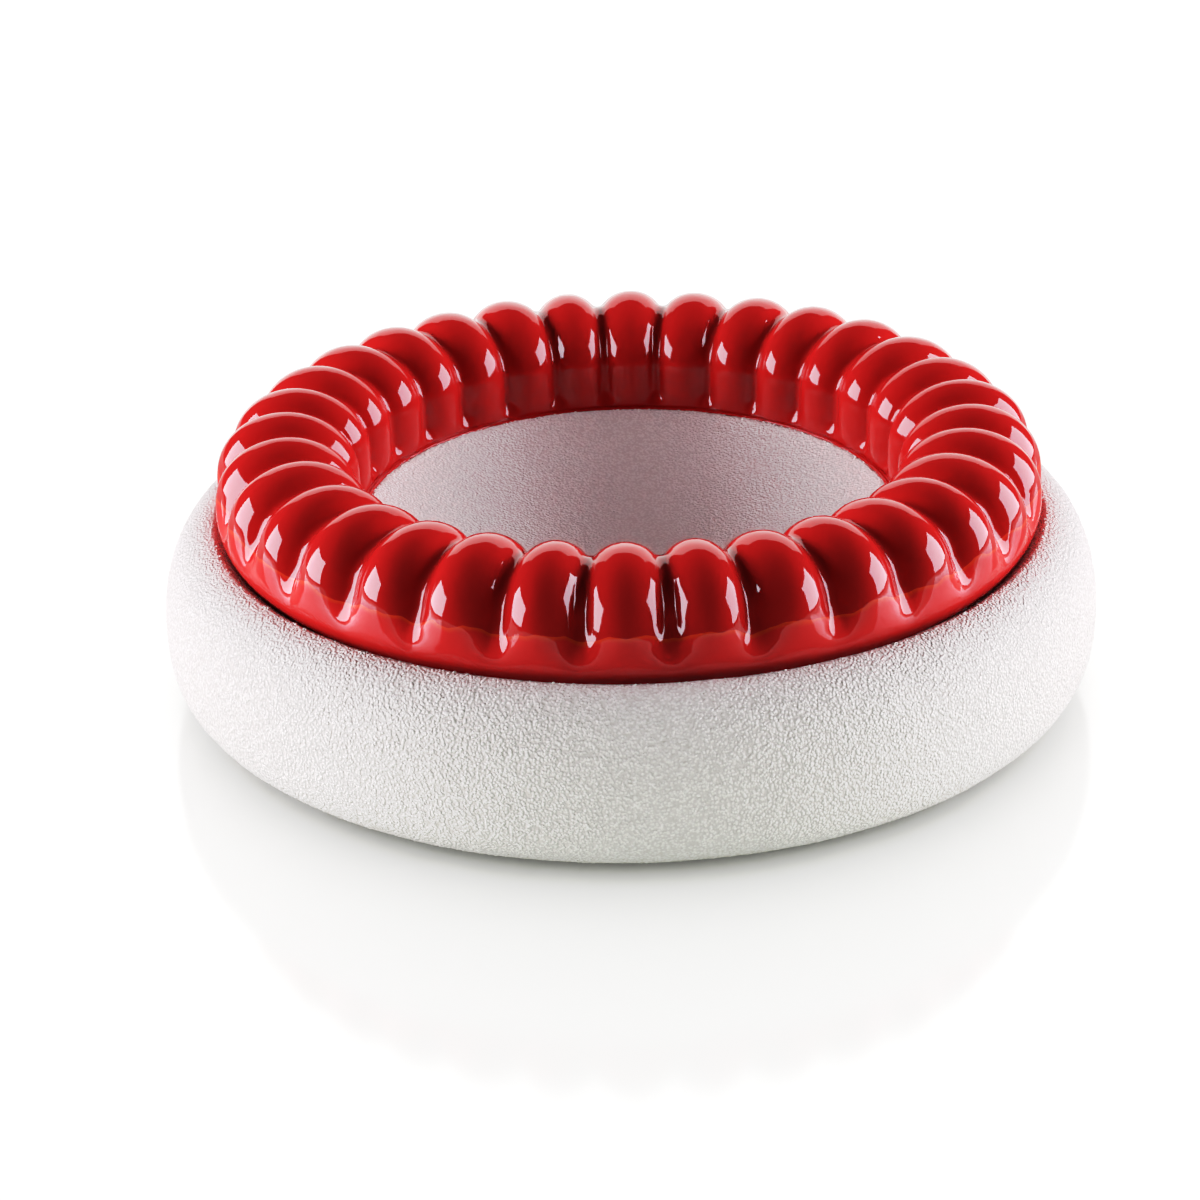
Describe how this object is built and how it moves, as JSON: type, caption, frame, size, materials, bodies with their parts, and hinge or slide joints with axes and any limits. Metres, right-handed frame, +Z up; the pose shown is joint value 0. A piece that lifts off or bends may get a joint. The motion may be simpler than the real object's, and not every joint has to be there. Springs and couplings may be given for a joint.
{
  "type": "strawberry cake",
  "caption": "Round white velvet-coated mousse cake with a glossy red ribbed ring seated in its top around a shallow dished middle.",
  "frame": {"origin": "centre of the flat underside, on the surface the cake stands on", "axes": "+Z up along the cake's axis; one rib of the ring faces -Y; X and Y are otherwise alike"},
  "size_m": [0.2, 0.2, 0.0608],
  "materials": {
    "white_velvet": "matt white sprayed cocoa butter with a fine grain",
    "red_glaze": "mirror-gloss red fruit glaze"
  },
  "bodies": {
    "root": {"velvet_cake": "white_velvet", "glazed_ring": "red_glaze"}
  },
  "joints": []
}
